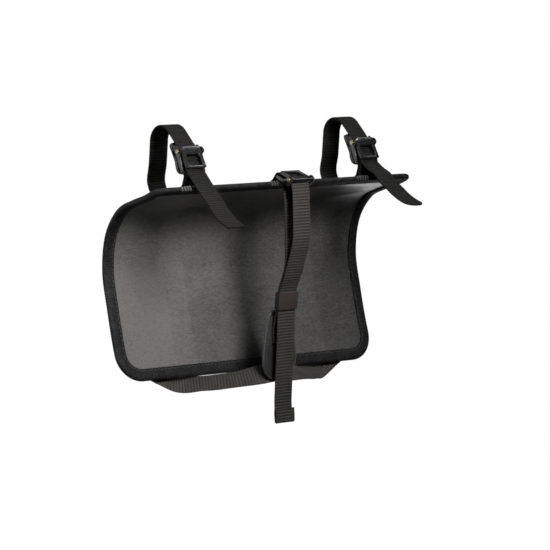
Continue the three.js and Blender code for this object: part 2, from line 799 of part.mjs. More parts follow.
const slingSections = [
  slingAnchor(-1),
  slingAnchor(-0.9),
  slingSection(-0.8, 0.204, 0.344, 20),
  slingSection(-0.66, 0.128, -0.844, 44),
  slingSection(-0.5, -0.189, -0.95, 63),
  slingSection(-0.32, -0.66, -0.6, 58),
  slingSection(-0.15, -1, -0.1, 42),
  slingMiddle,
  slingSection(0.15, -0.962, -0.078, 42),
  slingSection(0.32, -0.623, -0.5, 59),
  slingSection(0.5, -0.189, -0.92, 63),
  slingSection(0.66, 0.128, -0.813, 44),
  slingSection(0.8, 0.204, 0.344, 20),
  slingAnchor(0.9),
  slingAnchor(1),
];
function lowerSling() {
  const route = new THREE.CatmullRomCurve3(
    slingSections.map(({ share, y, z }) => new THREE.Vector3(share * sling.halfSpan, y, z)),
  );
  const rows = 60;
  const up = new THREE.Vector3(0, 0, 1);
  return bentSheet(1, rows, (u, row, through) => {
    const t = row / rows;
    const n = Math.min(slingSections.length - 2, Math.floor(t * (slingSections.length - 1)));
    const part = t * (slingSections.length - 1) - n;
    const lean = THREE.MathUtils.lerp(slingSections[n].lean, slingSections[n + 1].lean, part);
    const way = route.getTangent(t);
    const wide = up.clone().addScaledVector(way, -up.dot(way)).normalize();
    const face = new THREE.Vector3().crossVectors(way, wide);
    const tilt = THREE.MathUtils.degToRad(lean);
    const across = wide.clone().multiplyScalar(Math.cos(tilt)).addScaledVector(face, -Math.sin(tilt));
    const normal = new THREE.Vector3().crossVectors(way, across);
    return route
      .getPoint(t)
      .addScaledVector(across, (u - 0.5) * sling.width)
      .addScaledVector(normal, through * sling.thick);
  });
}
add("lower_sling", lowerSling(), "webbing");

export default harness;
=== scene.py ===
import bisect
import math
import bmesh
import bpy
from mathutils import Matrix, Vector


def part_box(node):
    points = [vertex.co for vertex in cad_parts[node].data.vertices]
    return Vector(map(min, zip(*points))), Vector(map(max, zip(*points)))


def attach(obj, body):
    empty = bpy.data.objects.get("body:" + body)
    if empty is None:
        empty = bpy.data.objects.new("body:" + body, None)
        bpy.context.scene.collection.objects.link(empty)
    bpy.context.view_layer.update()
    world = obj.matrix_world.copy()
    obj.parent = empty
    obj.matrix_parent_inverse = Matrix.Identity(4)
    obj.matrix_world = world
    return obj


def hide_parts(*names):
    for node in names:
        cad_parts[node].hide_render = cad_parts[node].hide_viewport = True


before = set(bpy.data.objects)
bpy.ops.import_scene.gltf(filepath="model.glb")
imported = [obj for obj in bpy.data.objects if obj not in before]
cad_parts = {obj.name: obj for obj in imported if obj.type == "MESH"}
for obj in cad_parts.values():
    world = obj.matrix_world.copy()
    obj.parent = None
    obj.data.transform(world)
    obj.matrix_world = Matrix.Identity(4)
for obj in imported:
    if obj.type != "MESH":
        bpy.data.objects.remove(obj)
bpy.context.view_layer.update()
mm = 0.001

# Cradle panel
# One stiff panel of coated woven fabric, bent into a curve that a rolled bag lies in. It is cut flat,
# its top edge reaches forward as a lip, and its edge is sewn into a folded tape all the way round.
PANEL = {
    "width": 239 * mm,
    "bottom_width": 231 * mm,
    "thick": 1.8 * mm,
    "depth": 66.4 * mm,
    "drop": 142 * mm,
    "top_corner": 9 * mm,
    "bottom_corner": 20 * mm,
    "edge_forward": 36.4 * mm,
    "edge_below": 30.3 * mm,
    "skew": 3.7 * mm,
}
PROFILE_SHARES = [
    (0, 0),
    (0.218, 0.042),
    (0.453, 0.075),
    (0.703, 0.123),
    (0.929, 0.25),
    (1, 0.44),
    (0.914, 0.639),
    (0.806, 0.828),
    (0.673, 1),
]
FABRIC = (0.119, 0.116, 0.112, 1)
WARP, WEFT = 0.9 * mm, 0.8 * mm
# Places across where the painted light and shade on the lower wall steps, and the height band where it
# begins.
SHADE_EDGES = (-67 * mm, -48 * mm, 75 * mm)
SHADE_EDGE_HALF = 1.5 * mm
LIT_LOW_WALL = (88 * mm, 108 * mm)
DENT_FADE = (9 * mm, 34 * mm)
PANEL_CELLS = (170, 140)


class Path:
    """A line through points: where it is, and which way it runs, at a distance along it."""

    def __init__(self, points):
        self.points = points
        self.marks = [0.0]
        for a, b in zip(points, points[1:]):
            self.marks.append(self.marks[-1] + (b - a).length)
        self.length = self.marks[-1]

    def span(self, distance):
        """Which stretch between points a distance falls in, and how far through it."""
        i = min(max(bisect.bisect_right(self.marks, distance) - 1, 0), len(self.points) - 2)
        return i, (distance - self.marks[i]) / (self.marks[i + 1] - self.marks[i])

    def at(self, distance):
        i, part = self.span(distance)
        return self.points[i] + (self.points[i + 1] - self.points[i]) * part

    def way(self, distance, reach=0.4 * mm):
        inside = min(max(distance, reach), self.length - reach)
        return (self.at(inside + reach) - self.at(inside - reach)).normalized()


def smooth_curve(points, steps):
    """Close points of a smooth curve through a few."""
    ends = [2 * points[0] - points[1], *points, 2 * points[-1] - points[-2]]
    made = []
    for a, b, c, d in zip(ends, ends[1:], ends[2:], ends[3:]):
        before, here, after = (math.sqrt((q - p).length) for p, q in ((a, b), (b, c), (c, d)))
        leave = ((b - a) / before - (c - a) / (before + here) + (c - b) / here) * here
        arrive = ((c - b) / here - (d - b) / (here + after) + (d - c) / after) * here
        for i in range(steps):
            t = i / steps
            bend = (2 * b - 2 * c + leave + arrive) * t + (3 * c - 3 * b - 2 * leave - arrive)
            made.append(b + leave * t + bend * t * t)
    return [*made, points[-1]]


def profile_point(back, down):
    y = PANEL["depth"] * back - PANEL["edge_forward"]
    return Vector((0, y, -PANEL["edge_below"] - PANEL["drop"] * down))


profile = Path(smooth_curve([profile_point(*share) for share in PROFILE_SHARES], 40))


def on_panel(x, down, off=0.0):
    """The place on the panel at x, a distance down its curve, and off its middle towards the back."""
    share = min(max(down / profile.length, 0), 1)
    way = profile.way(share * profile.length)
    place = profile.at(down) + Vector((0, -way.z, way.y)) * off
    place.y -= PANEL["skew"] * share * share * x / (PANEL["width"] / 2)
    place.x = x * (1 + (PANEL["bottom_width"] / PANEL["width"] - 1) * share)
    return place


def wave(distance, length, phase=0.0):
    return math.sin(2 * math.pi * distance / length + phase)


def ease(value, start, end):
    """A smooth step from 0 at start to 1 at end."""
    t = min(max((value - start) / (end - start), 0), 1)
    return t * t * (3 - 2 * t)


def panel_dents(x, down):
    """How far use has pushed the panel in or out, which fades to nothing at its bound edge."""
    reach = min(PANEL["width"] / 2 - abs(x), down, profile.length - down)
    fade = ease(reach, *DENT_FADE)
    slow = 0.35 * wave(x, 92 * mm, 0.7) * wave(down, 150 * mm, 1.1)
    quick = 0.14 * wave(x + 0.4 * down, 37 * mm, 2.0) * wave(down - 0.3 * x, 61 * mm, 0.3)
    return (slow + quick) * fade * mm


def bent_grid(across, along, place):
    """A flat grid bent to shape: place gives each vertex's spot and its place on the cloth map."""
    bm = bmesh.new()
    bmesh.ops.create_grid(bm, x_segments=across, y_segments=along, size=0.5)
    cloth = bm.loops.layers.uv.new("cloth")
    flat = {}
    for vert in bm.verts:
        vert.co, flat[vert] = place(round(vert.co.x + 0.5, 6), round(vert.co.y + 0.5, 6))
    for face in bm.faces:
        for loop in face.loops:
            loop[cloth].uv = flat[loop.vert]
    return bm


def finish_piece(name, bm, finish, body="harness", replaces=(), turn_out=True):
    """Makes the piece's object, smooth to the touch, names it and hangs it on what carries it."""
    if turn_out:
        bmesh.ops.recalc_face_normals(bm, faces=bm.faces)
    mesh = bpy.data.meshes.new(name)
    bm.to_mesh(mesh)
    bm.free()
    mesh.shade_smooth()
    mesh.materials.append(finish)
    piece = bpy.data.objects.new(name, mesh)
    bpy.context.scene.collection.objects.link(piece)
    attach(piece, body)
    if replaces:
        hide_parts(*replaces)
    return piece


class Value:
    """A shader value that can be added, taken away and multiplied."""

    def __init__(self, finish, socket):
        self.finish = finish
        self.socket = socket

    def work(self, operation, first, second):
        return self.finish.node("ShaderNodeMath", {"operation": operation}, {0: first, 1: second})

    def __add__(self, other):
        return self.work("ADD", self, other)

    def __radd__(self, other):
        return self.work("ADD", other, self)

    def __sub__(self, other):
        return self.work("SUBTRACT", self, other)

    def __rsub__(self, other):
        return self.work("SUBTRACT", other, self)

    def __mul__(self, other):
        return self.work("MULTIPLY", self, other)

    def __rmul__(self, other):
        return self.work("MULTIPLY", other, self)


class Finish:
    """A material: its shader's steady values, and the patterns that vary over a surface."""

    def __init__(self, name, **steady):
        self.material = bpy.data.materials.new(name)
        self.material.use_nodes = True
        self.nodes = self.material.node_tree.nodes
        self.links = self.material.node_tree.links
        self.shader = self.nodes["Principled BSDF"]
        for socket, value in steady.items():
            self.shader.inputs[socket.replace("_", " ")].default_value = value

    def node(self, kind, settings, inputs, out=0):
        """Adds a node: its settings first, then the values or links of its sockets."""
        made = self.nodes.new(kind)
        for key, value in settings.items():
            setattr(made, key, value)
        for key, value in inputs.items():
            if isinstance(value, Value):
                self.links.new(value.socket, made.inputs[key])
            else:
                made.inputs[key].default_value = value
        return Value(self, made.outputs[out])

    def feed(self, socket, value):
        self.links.new(value.socket, self.shader.inputs[socket])

    def place(self):
        return self.node("ShaderNodeTexCoord", {}, {}, "Object")

    def stretched(self, by):
        """The place, squeezed on each axis, so that a pattern is drawn out along it."""
        return self.node("ShaderNodeVectorMath", {"operation": "MULTIPLY"}, {0: self.place(), 1: by})

    def noise(self, scale, detail, vector=None):
        inputs = {"Vector": vector or self.place(), "Scale": scale, "Detail": detail}
        return self.node("ShaderNodeTexNoise", {}, inputs)

    def cloth(self):
        """The cloth map's two distances in metres, across and along."""
        flat = self.node("ShaderNodeUVMap", {"uv_map": "cloth"}, {})
        return [self.node("ShaderNodeSeparateXYZ", {}, {0: flat}, out) for out in (0, 1)]

    def sine(self, value):
        return self.node("ShaderNodeMath", {"operation": "SINE"}, {0: value})

    def ribs(self, distance, pitch):
        """0 to 1 and back once in each pitch."""
        return self.sine(distance * (2 * math.pi / pitch)) * 0.5 + 0.5

    def level(self, value, low, high, to_low=0.0, to_high=1.0):
        """A smooth step from one value to another as the pattern goes from low to high."""
        ends = {"From Min": low, "From Max": high, "To Min": to_low, "To Max": to_high}
        settings = {"interpolation_type": "SMOOTHSTEP"}
        return self.node("ShaderNodeMapRange", settings, {"Value": value, **ends})

    def blend(self, share, dark, light):
        return self.node("ShaderNodeMix", {"data_type": "RGBA"}, {0: share, 6: dark, 7: light}, 2)

    def bump(self, height, distance, strength):
        inputs = {"Height": height, "Distance": distance, "Strength": strength}
        self.feed("Normal", self.node("ShaderNodeBump", {}, inputs))


def shade(colour, by):
    return (colour[0] * by, colour[1] * by, colour[2] * by, 1)


def coated_fabric():
    made = Finish(
        "coated_fabric", Sheen_Weight=0.02, Sheen_Roughness=0.4, Coat_Weight=0.7, Coat_Roughness=0.24
    )
    across, along = made.cloth()
    threads = made.ribs(across, WARP) * 0.5 + made.ribs(along, WEFT) * 0.5
    grain = made.noise(1300, 2.0)
    picks = made.noise(1000, 2.0, made.stretched((0.25, 1, 1)))
    slubs = made.noise(230, 3.0, made.stretched((0.5, 1, 1)))
    speckle = made.noise(850, 3.0)
    wear = made.noise(22, 4.0)
    uneven = wear * 0.5 + slubs * 0.5
    fine = made.level(grain, 0.36, 0.64) * 0.26 + made.level(picks, 0.37, 0.63) * 0.24
    broad = made.level(speckle, 0.36, 0.64) * 0.28 + made.level(uneven, 0.36, 0.64) * 0.16
    # Painted light and shade: low on the wall the colour is lighter in steps towards the left and darker
    # past the step on the right, standing for the edges of shadows that fall there.
    outer_shade_edge, inner_shade_edge, right_shade_edge = [
        made.level(across, place - SHADE_EDGE_HALF, place + SHADE_EDGE_HALF) for place in SHADE_EDGES
    ]
    painted_light_steps = 0.34 - outer_shade_edge * 0.14 - inner_shade_edge * 0.2 - right_shade_edge * 0.16
    painted_light_bands = made.level(along, *LIT_LOW_WALL) * painted_light_steps
    # Painted light: the fabric is lighter towards its left end, where more light falls.
    painted_light_leftward = 1 - made.level(across, -120 * mm, 120 * mm)
    tone = fine + broad + painted_light_bands + painted_light_leftward * 0.16 - 0.06
    made.feed("Base Color", made.blend(tone, shade(FABRIC, 0.42), shade(FABRIC, 1.42)))
    made.feed("Roughness", made.level(wear * 0.6 + grain * 0.4, 0.3, 0.7, 0.36, 0.52))
    made.bump(threads * 0.3 + grain * 0.4 + picks * 0.8 + speckle * 0.8, 0.2 * mm, 0.7)
    return made.material


def panel_place(across, down_share):
    """The panel's middle surface, drawn in to its rounded corners."""
    down = down_share * profile.length
    corner = PANEL["top_corner"] if down_share < 0.5 else PANEL["bottom_corner"]
    inward = max(0, corner - min(down, profile.length - down))
    half = PANEL["width"] / 2 - corner + math.sqrt(max(0, corner**2 - inward**2))
    x = (across * 2 - 1) * half
    return on_panel(x, down, panel_dents(x, down)), (x, down)


panel_cloth = finish_piece(
    "panel_cloth",
    bent_grid(*PANEL_CELLS, panel_place),
    coated_fabric(),
    replaces=["cradle_panel"],
    turn_out=False,
)
wall = panel_cloth.modifiers.new("wall", "SOLIDIFY")
wall.thickness = PANEL["thick"]
wall.offset = 0

# Edge binding
# A folded, closely ribbed tape all round the panel, with the panel's edge inside its fold. One row of
# lockstitch in thick thread runs along its inner edge, through both faces of the tape.
TAPE = {
    "face": 7.9 * mm,
    "thick": 0.8 * mm,
    "slack": 0.25 * mm,
    "rib": 2.0 * mm,
    "rib_rise": 0.05 * mm,
    "seam": 6.4 * mm,
}
TAPE_SLOT = PANEL["thick"] / 2 + TAPE["slack"]
TAPE_OUTER = TAPE_SLOT + TAPE["thick"]
STITCH = {"length": 2.5 * mm, "pitch": 3.1 * mm, "thread": 0.78 * mm, "sway": 0.22 * mm}
TAPE_COLOUR = (0.0165, 0.0165, 0.017, 1)
THREAD_COLOUR = (0.05, 0.05, 0.05, 1)
CORNER_STEPS = 12


def edge_route(pitch):
    """Even steps round the panel's outline: place on the panel, and the way out of its edge there."""
    half = PANEL["width"] / 2
    top, bottom = PANEL["top_corner"], PANEL["bottom_corner"]
    corners = [
        (half - bottom, profile.length - bottom, bottom, 0),
        (bottom - half, profile.length - bottom, bottom, 90),
        (top - half, top, top, 180),
        (half - top, top, top, 270),
    ]
    turns = []
    for x, down, radius, first in corners:
        for i in range(CORNER_STEPS + 1):
            angle = math.radians(first + 90 * i / CORNER_STEPS)
            out = Vector((math.cos(angle), math.sin(angle), 0))
            turns.append((Vector((x, down, 0)) + out * radius, out))
    turns.append(turns[0])
    line = Path([place for place, out in turns])
    count = round(line.length / pitch)
    route = []
    for i in range(count):
        distance = line.length * i / count
        n, part = line.span(distance)
        out = turns[n][1].lerp(turns[n + 1][1], part).normalized()
        route.append((line.at(distance), out))
    return route


def by_edge(at, out, inward, off):
    """The place a distance in from the panel's edge, and off its middle."""
    return on_panel(at.x - out.x * inward, at.y - out.y * inward, off)


def tape_section():
    """The folded tape across, in from the panel's edge and off its middle: what shows, and its inside."""
    slot, outer = TAPE_SLOT, TAPE_OUTER
    seam, face = TAPE["seam"], TAPE["face"]
    front = [
        (face - 0.15 * mm, slot + 0.25 * mm),
        (face, outer - 0.25 * mm),
        (face - 0.3 * mm, outer),
        (seam + 0.6 * mm, outer + 0.05 * mm),
        (seam, outer - 0.16 * mm),
        (seam - 0.6 * mm, outer + 0.05 * mm),
        (5 * mm, outer + 0.2 * mm),
        (2.6 * mm, outer + 0.12 * mm),
        (0.6 * mm, outer - 0.05 * mm),
        (-0.45 * mm, outer * 0.72),
        (-0.95 * mm, outer * 0.38),
    ]
    fold = (-1.08 * mm, 0.0)
    back = [(inward, -off) for inward, off in reversed(front)]
    inside = [
        (face * 0.6, -slot),
        (-TAPE["slack"], -slot),
        (-TAPE["slack"], slot),
        (face * 0.6, slot),
    ]
    return [*front, fold, *back], inside


def wrapped_tape():
    route = edge_route(TAPE["rib"] / 2)
    shown, inside = tape_section()
    section = [*shown, *inside]
    girth = Path([Vector((inward, off, 0)) for inward, off in section])

    def place(around, along):
        row = round(along * len(route))
        at, out = route[row % len(route)]
        n = round(around * len(section)) % len(section)
        inward, off = section[n]
        rib = TAPE["rib_rise"] * (-1) ** row if n < len(shown) else 0
        spot = by_edge(at, out, inward, off + (rib if off >= 0 else -rib))
        return spot, (girth.marks[n], along * len(route) * TAPE["rib"] / 2)

    bm = bent_grid(len(section), len(route), place)
    bmesh.ops.remove_doubles(bm, verts=bm.verts, dist=0.01 * mm)
    return bm


def ribbed_tape():
    made = Finish("ribbed_tape", Specular_IOR_Level=0.2)
    across, along = made.cloth()
    rib = made.ribs(along, TAPE["rib"])
    fleck = made.noise(760, 3.0)
    patch = made.noise(130, 3.0)
    tone = rib * 0.22 + made.level(fleck, 0.36, 0.64) * 0.5 + made.level(patch, 0.36, 0.64) * 0.28
    made.feed("Base Color", made.blend(tone, shade(TAPE_COLOUR, 0.12), shade(TAPE_COLOUR, 1.9)))
    made.feed("Roughness", made.level(fleck, 0.3, 0.7, 0.5, 0.75))
    made.bump(rib * 0.7 + fleck * 0.6, 0.2 * mm, 0.8)
    return made.material


def thread_finish(name, colour):
    made = Finish(name, Specular_IOR_Level=0.3)
    twist = made.noise(2600, 1.0)
    made.feed("Base Color", made.blend(twist, shade(colour, 0.6), shade(colour, 1.7)))
    made.feed("Roughness", made.level(twist, 0.3, 0.7, 0.42, 0.62))
    made.bump(twist, 0.1 * mm, 0.5)
    return made.material


def lay_stitch(bm, spot, way, out, length=STITCH["length"], thread=STITCH["thread"]):
    """One stitch of thread: a slim bead that lies along the seam, sunk a little at its ends."""
    side = out.cross(way).normalized()
    axes = Matrix((side, way, side.cross(way).normalized())).transposed().to_4x4()
    size = Matrix.Diagonal((thread, length, thread * 0.8, 1))
    bmesh.ops.create_uvsphere(
        bm, u_segments=6, v_segments=5, radius=0.5, matrix=Matrix.Translation(spot) @ axes @ size
    )


def edge_seam():
    """Stitches on both faces of the tape, each a little aslant of the next."""
    bm = bmesh.new()
    route = edge_route(STITCH["pitch"])
    for n, (at, out) in enumerate(route):
        ahead = route[(n + 1) % len(route)][0]
        inward = TAPE["seam"] + STITCH["sway"] * (-1) ** n
        for off in (-TAPE_OUTER, TAPE_OUTER):
            spot = by_edge(at, out, inward, off)
            proud = by_edge(at, out, inward, off * 1.1)
            next_spot = by_edge(ahead, out, inward, off)
            lay_stitch(bm, spot, (next_spot - spot).normalized(), (proud - spot).normalized())
    return bm


edge_tape = finish_piece(
    "edge_tape", wrapped_tape(), ribbed_tape(), replaces=["edge_binding"]
)
black_thread = thread_finish("black_thread", THREAD_COLOUR)
edge_stitches = finish_piece("edge_stitches", edge_seam(), black_thread, turn_out=False)

# Webbing: bar straps, buckle tabs, centre strap and lower sling
# Ribbed polyester webbing 16 mm wide, cut with a hot knife. The bar straps and tabs are sewn behind the
# cradle's top edge, and the sling behind its lower corners. The centre strap runs up from the leaf tab,
# through its buckle and down again, and its end is folded into a stop.
WEBBING = {"width": 16 * mm, "thick": 1.2 * mm, "rib": 2.2 * mm, "rib_rise": 0.13 * mm}
WEBBING_COLOUR = (0.0195, 0.0188, 0.0176, 1)
STRAP_ENDS = {
    "left": {"corner": 1.2 * mm, "trim": 0},
    "right": {"corner": 7 * mm, "trim": 5 * mm},
}
TOP_EDGE = (0, 0, -40 * mm)
LEAF_PLACE = (0, -27 * mm, -148 * mm)
LEFT_CORNER = (-100 * mm, 0, -160 * mm)
STOP = {"wider": 0.6 * mm, "from": 22 * mm, "full": 17 * mm}
SLING = {"wider": 1.1 * mm, "widest": 0.24, "even": 0.03, "fade": 0.13}


class Strip:
    """The middle of a strip of webbing from end to end, and the way across it. Its length can be cut."""

    def __init__(self, bends, acrosses, steps=6):
        self.path = Path(smooth_curve(bends, steps))
        self.bends = Path(bends)
        self.acrosses = acrosses
        self.whole = self.path.length
        self.length = self.whole

    def at(self, distance):
        """Its middle, the way across it and the way out of its face."""
        n, part = self.bends.span(distance * self.bends.length / self.whole)
        way = self.path.way(distance)
        across = self.acrosses[n].lerp(self.acrosses[n + 1], part)
        across = (across - way * across.dot(way)).normalized()
        return self.path.at(distance), across, way.cross(across)


def crosses_webbing(edge, flat, middle):
    """Whether an edge lies across the webbing, and on a flat strap is the one past its middle."""
    low, high = sorted((vert.co for vert in edge.verts), key=lambda co: co.x)
    span = high - low
    if not flat:
        return abs(span.length / WEBBING["width"] - 1) < 0.001
    level = span.length > 0 and abs(span.x) > span.length * 0.99999
    return level and low.x <= middle + 0.01 * mm < high.x


def strip_of(node, start, flat=True):
    """Reads the middle of a webbing node from the frame, beginning with its end nearest to start: a ring
    of edges goes round both its faces, and each is paired with the one on the other face."""
    bm = bmesh.new()
    bm.from_mesh(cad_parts[node].data)
    bmesh.ops.remove_doubles(bm, verts=bm.verts, dist=0.001 * mm)
    middle = sum(vert.co.x for vert in bm.verts) / len(bm.verts)
    rows = {}
    for edge in bm.edges:
        if crosses_webbing(edge, flat, middle):
            rows.update({vert: edge for vert in edge.verts})
    ring = [next(iter(rows.values()))]
    while True:
        edge = ring[-1]
        beside = [rows[v] for face in edge.link_faces for v in face.verts if v not in edge.verts]
        fresh = [other for other in beside if other not in ring[-2:] and other is not ring[0]]
        if not fresh or len(ring) > len(rows):
            break
        ring.append(fresh[0])
    middles = [(edge.verts[0].co + edge.verts[1].co) / 2 for edge in ring]
    count = len(ring)
    pairings = [
        (sum((middles[i] - middles[(shift - i) % count]).length for i in range(count)), shift)
        for shift in range(1, count, 2)
    ]
    shift = min(pairings)[1]
    first = (shift + 1) // 2
    low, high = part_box(node)
    bends, acrosses = [], []
    for k in range(count // 2):
        one, other = (first + k) % count, (shift - first - k) % count
        bends.append((middles[one] + middles[other]) / 2)
        if flat:
            bends[-1].x = (low[0] + high[0]) / 2
        edge = ring[one]
        across = (edge.verts[1].co - edge.verts[0].co).normalized()
        toward = acrosses[-1] if acrosses else Vector((1, 0, 0)) if flat else Vector((0, 0, 1))
        acrosses.append(across if across.dot(toward) > 0 else -across)
    bm.free()
    if (bends[-1] - Vector(start)).length < (bends[0] - Vector(start)).length:
        bends.reverse()
        acrosses.reverse()
    return Strip(bends, acrosses)


def steady(value):
    """The same value all along."""
    return lambda *place: value


def strip_mesh(strip, half, thick, rows, cells=8, rise=steady(0.0)):
    """A closed strip with rounded selvedges: half gives half its width along it, and rise how far its
    face stands up at a place."""
    turns = 4
    girth = 2 * (cells + turns)
    half_thick = thick / 2
    back_map = 20 * mm

    def section(n):
        """Share of the flat across, the selvedge's reach and the height, in unit sizes."""
        side = 1 if n < cells + turns else -1
        n = n if side > 0 else n - cells - turns
        if n <= cells:
            return side * (1 - 2 * n / cells), 0.0, side
        angle = math.pi * (n - cells) / turns
        return -side, -side * math.sin(angle), side * math.cos(angle)

    def place(around, along):
        distance = along * strip.length
        flat_share, reach, height = section(round(around * girth) % girth)
        middle, across, out = strip.at(distance)
        flat = max(half(distance) - half_thick, 0.05 * mm)
        sideways = flat_share * flat + reach * half_thick
        up = height * (half_thick + rise(distance, flat_share))
        flat_across = sideways + (back_map if height < 0 else 0)
        return middle + across * sideways + out * up, (flat_across, distance)

    bm = bent_grid(girth, rows, place)
    bmesh.ops.remove_doubles(bm, verts=bm.verts, dist=0.001 * mm)
    rims = [edge for edge in bm.edges if edge.is_boundary]
    bmesh.ops.holes_fill(bm, edges=rims, sides=0)
    return bm


def woven_rise(distance, flat_share):
    selvedge = 1 - ease(abs(flat_share), 0.86, 0.98)
    return WEBBING["rib_rise"] * (wave(distance, WEBBING["rib"]) * selvedge + 0.5 * (1 - selvedge))


def webbing_finish(name, colour, contrast=1.0):
    made = Finish(name, Specular_IOR_Level=0.1)
    across, along = made.cloth()
    rib = made.ribs(along, WEBBING["rib"])
    warp = made.ribs(across, 1.1 * mm)
    fleck = made.noise(1300, 2.0)
    patch = made.noise(70, 3.0)
    weave = rib * (0.4 * contrast) + warp * 0.1
    tone = weave + made.level(fleck, 0.36, 0.64) * 0.26 + patch * 0.24 - 0.1
    made.feed("Base Color", made.blend(tone, shade(colour, 0.35), shade(colour, 1.6)))
    made.feed("Roughness", made.level(fleck, 0.3, 0.7, 0.48, 0.7))
    made.bump(rib * 0.8 + warp * 0.25 + fleck * 0.5, 0.22 * mm, 0.9)
    return made.material


webbing = webbing_finish("ribbed_webbing", WEBBING_COLOUR)


def webbing_piece(node, strip, half=steady(WEBBING["width"] / 2), finish=webbing):
    rows = round(strip.length / (WEBBING["rib"] / 4))
    bm = strip_mesh(strip, half, WEBBING["thick"], rows, rise=woven_rise)
    return finish_piece(f"{node}_webbing", bm, finish, replaces=[node])


def cut_end(strip, radius):
    """Half the width of webbing whose far end has rounded corners."""
    def half(distance):
        inward = max(0, radius - (strip.length - distance))
        return WEBBING["width"] / 2 - radius + math.sqrt(max(0.02 * mm * mm, radius**2 - inward**2))
    return half


bar_straps = []
for side, end in STRAP_ENDS.items():
    strip = strip_of(f"bar_strap_{side}", TOP_EDGE)
    strip.length -= end["trim"]
    bar_straps.append(strip)
    webbing_piece(f"bar_strap_{side}", strip, cut_end(strip, end["corner"]))
    webbing_piece(f"buckle_tab_{side}", strip_of(f"buckle_tab_{side}", (0, 0, 0)))
webbing_piece("buckle_tab_centre", strip_of("buckle_tab_centre", (0, 0, 0)))
centre = strip_of("centre_strap", LEAF_PLACE)


def centre_half(distance):
    """The centre strap's end is folded over and sewn into a stop a little wider than the strap."""
    stop = ease(distance, centre.length - STOP["from"], centre.length - STOP["full"])
    return WEBBING["width"] / 2 + STOP["wider"] * stop


# Painted light: a lighter copy of the same webbing, 3.1 times as bright with stronger ribs, for how
# brightly the centre strap is lit.
painted_light_centre_finish = webbing_finish("painted_light_centre_webbing", shade(WEBBING_COLOUR, 3.1), 1.5)
webbing_piece("centre_strap", centre, centre_half, painted_light_centre_finish)
sling = strip_of("lower_sling", LEFT_CORNER, flat=False)


def sling_half(distance):
    """The sling lies a little flatter, and so shows wider, on each side of the leaf tab."""
    beside = abs(abs(distance / sling.length - 0.5) - SLING["widest"])
    return WEBBING["width"] / 2 + SLING["wider"] * (1 - ease(beside, SLING["even"], SLING["fade"]))


# Painted light: a lighter copy of the same webbing, 4.6 times as bright with softer ribs, for how
# brightly the sling is lit.
painted_light_sling_finish = webbing_finish("painted_light_sling_webbing", shade(WEBBING_COLOUR, 4.6), 0.8)
webbing_piece("lower_sling", sling, sling_half, painted_light_sling_finish)

# Sewing on the webbing
# Grey thread holds the bar straps and the sling with crossed boxes of stitches, and the buckle tabs and
# the centre strap's stop with rows of them. The left tab's rows are drawn in a lighter thread, a painted
# highlight on the same grey stitches.
SEWING = {"pitch": 2.4 * mm, "length": 2.0 * mm, "thread": 0.5 * mm}
STRAP_BOX = {"half": 6.2 * mm, "from": 2 * mm, "to": 13 * mm}
SLING_BOX = {"half": 6.0 * mm, "from": 2 * mm, "to": 12 * mm}
STOP_ROWS = {"half": 7 * mm, "from_end": (12 * mm, 9 * mm)}
TACK = {"out": 81 * mm, "from": -17 * mm, "to": 10 * mm, "proud": 1.1 * mm}
TACK_ROWS = (-1.5 * mm, -0.75 * mm, 0.0, 0.75 * mm, 1.5 * mm)
GREY_THREAD = (0.12, 0.117, 0.11, 1)
PAINTED_HIGHLIGHT_THREAD = (0.2, 0.195, 0.185, 1)
grey_thread = thread_finish("grey_thread", GREY_THREAD)
sewn = bmesh.new()
highlit_tacks = bmesh.new()


def sew_line(bm, start, end, place):
    """Stitches from one place to another on a face that place gives as a spot and the way out of it."""
    start, end = Vector(start), Vector(end)
    count = max(1, round((end - start).length / SEWING["pitch"]))
    for n in range(count):
        spot, out = place(*start.lerp(end, (n + 0.5) / count))
        ahead = place(*start.lerp(end, (n + 1) / count))[0]
        lay_stitch(bm, spot, (ahead - spot).normalized(), out, SEWING["length"], SEWING["thread"])


def sew_box(half, low, high, place):
    """A box of stitches with a cross in it, drawn by places across and along."""
    corners = [(-half, low), (half, low), (half, high), (-half, high)]
    sides = list(zip(corners, [*corners[1:], corners[0]]))
    crosses = [(corners[0], corners[2]), (corners[1], corners[3])]
    for start, end in (*sides, *crosses):
        sew_line(sewn, start, end, place)


def webbing_face(strip, toward):
    """Places on the face of a strip of webbing that looks a given way."""
    def place(across, along):
        middle, side, out = strip.at(along)
        out = out if out.dot(Vector(toward)) > 0 else -out
        return middle + side * across + out * (WEBBING["thick"] / 2 + WEBBING["rib_rise"]), out
    return place


def fold_face(x):
    """Places on the fold of the bound top edge, beside x, across it and from its back to its front."""
    def place(across, off):
        proud = -TACK["proud"] * math.sqrt(max(0, 1 - (off / TAPE_OUTER) ** 2))
        spot = on_panel(x + across, proud, off)
        return spot, (on_panel(x + across, -mm) - on_panel(x + across, 0)).normalized()
    return place


for strip in bar_straps:
    sew_box(STRAP_BOX["half"], STRAP_BOX["from"], STRAP_BOX["to"], webbing_face(strip, (0, 0.3, 1)))
for x, bm in ((-TACK["out"], highlit_tacks), (0, sewn), (TACK["out"], sewn)):
    for row in TACK_ROWS:
        sew_line(bm, (TACK["from"], row), (TACK["to"], row), fold_face(x))
near, far = SLING_BOX["from"], SLING_BOX["to"]
for low, high in ((near, far), (sling.length - far, sling.length - near)):
    sew_box(SLING_BOX["half"], low, high, webbing_face(sling, (0, 1, 0)))
for from_end in STOP_ROWS["from_end"]:
    left, right = [(side * STOP_ROWS["half"], centre.length - from_end) for side in (-1, 1)]
    sew_line(sewn, left, right, webbing_face(centre, (0, -1, 0)))
# Painted highlight: the left tab's rows are the same stitches as the others, drawn in a lighter thread
# for the light they catch.
painted_highlight_thread = thread_finish("painted_highlight_thread", PAINTED_HIGHLIGHT_THREAD)
finish_piece("sewn_thread", sewn, grey_thread, turn_out=False)
finish_piece("painted_highlight_tack_thread", highlit_tacks, painted_highlight_thread, turn_out=False)

